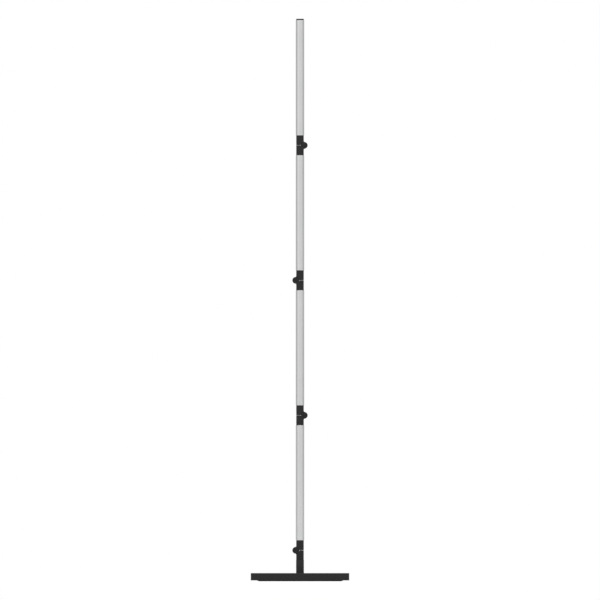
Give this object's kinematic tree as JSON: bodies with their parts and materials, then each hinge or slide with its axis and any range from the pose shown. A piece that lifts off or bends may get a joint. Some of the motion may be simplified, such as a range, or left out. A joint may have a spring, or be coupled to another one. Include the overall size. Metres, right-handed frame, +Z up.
{
  "type": "folding flag pole stand",
  "caption": "Free-standing upright pole of hinged aluminium tube sections that zigzag-folds, on a low weighted rectangular black foot.",
  "frame": {"origin": "on the floor under the middle of the foot", "axes": "+Z up along the pole, +X to the right seen from the front, +Y towards the back; the hinge axes lie along Y"},
  "size_m": [0.35, 0.25, 2],
  "materials": {
    "powder_coat": "fine-textured black powder coat",
    "post_coat": "satin black powder coat",
    "bottom_plate": "black electrocoat",
    "floor_pad": "ribbed black rubber",
    "ballast": "plain oiled steel",
    "tube": "satin natural anodised",
    "hinge_moulding": "matt black glass-filled nylon",
    "cap_moulding": "matt black moulded plastic",
    "pin": "black-oxide steel",
    "bush": "plain turned",
    "slip_washer": "natural nylon",
    "magnet": "nickel-plated",
    "zinc_screw": "zinc-plated steel",
    "zinc_bolt": "zinc-plated steel"
  },
  "bodies": {
    "stand": {"floor_pad": "floor_pad", "base_shell": "powder_coat", "bottom_plate": "bottom_plate", "base_screws": "zinc_screw", "ballast_plate": "ballast", "centre_bolt": "zinc_bolt", "centre_bolt_washer": "zinc_bolt", "post_tube": "post_coat", "post_plug": "ballast", "post_grub_screws": "zinc_screw", "post_magnet_screws": "zinc_screw", "base_hinge_fork": "hinge_moulding", "base_hinge_pin": "pin", "base_hinge_pin_cap": "pin", "base_hinge_slip_washers": "slip_washer", "base_hinge_lower_magnet": "magnet"},
    "lowest_section": {"lowest_tube": "tube", "lowest_tube_grub_screws": "zinc_screw", "lowest_tube_magnet_screws": "zinc_screw", "base_hinge_tongue": "hinge_moulding", "base_hinge_bush": "bush", "base_hinge_upper_magnet": "magnet", "lower_hinge_fork": "hinge_moulding", "lower_hinge_pin": "pin", "lower_hinge_pin_cap": "pin", "lower_hinge_slip_washers": "slip_washer", "lower_hinge_lower_magnet": "magnet"},
    "second_section": {"second_tube": "tube", "second_tube_grub_screws": "zinc_screw", "second_tube_magnet_screws": "zinc_screw", "lower_hinge_tongue": "hinge_moulding", "lower_hinge_bush": "bush", "lower_hinge_upper_magnet": "magnet", "middle_hinge_fork": "hinge_moulding", "middle_hinge_pin": "pin", "middle_hinge_pin_cap": "pin", "middle_hinge_slip_washers": "slip_washer", "middle_hinge_lower_magnet": "magnet"},
    "third_section": {"third_tube": "tube", "third_tube_grub_screws": "zinc_screw", "third_tube_magnet_screws": "zinc_screw", "middle_hinge_tongue": "hinge_moulding", "middle_hinge_bush": "bush", "middle_hinge_upper_magnet": "magnet", "upper_hinge_fork": "hinge_moulding", "upper_hinge_pin": "pin", "upper_hinge_pin_cap": "pin", "upper_hinge_slip_washers": "slip_washer", "upper_hinge_lower_magnet": "magnet"},
    "top_section": {"top_tube": "tube", "top_tube_grub_screws": "zinc_screw", "top_tube_magnet_screws": "zinc_screw", "upper_hinge_tongue": "hinge_moulding", "upper_hinge_bush": "bush", "upper_hinge_upper_magnet": "magnet", "top_cap": "cap_moulding"}
  },
  "joints": [
    {"name": "base_hinge_fold", "type": "hinge", "parent": "stand", "child": "lowest_section", "pos_m": [-0.01525, 0, 0.11], "axis": [0, -1, 0], "range_deg": [0, 90]},
    {"name": "lower_hinge_fold", "type": "hinge", "parent": "lowest_section", "child": "second_section", "pos_m": [0.01525, 0, 0.59], "axis": [0, 1, 0], "range_deg": [0, 180]},
    {"name": "middle_hinge_fold", "type": "hinge", "parent": "second_section", "child": "third_section", "pos_m": [-0.01525, 0, 1.07], "axis": [0, -1, 0], "range_deg": [0, 180]},
    {"name": "upper_hinge_fold", "type": "hinge", "parent": "third_section", "child": "top_section", "pos_m": [0.01525, 0, 1.55], "axis": [0, 1, 0], "range_deg": [0, 180]}
  ],
  "couplings": [
    {"joint": "middle_hinge_fold", "follows": "lower_hinge_fold", "ratio": 1}
  ]
}
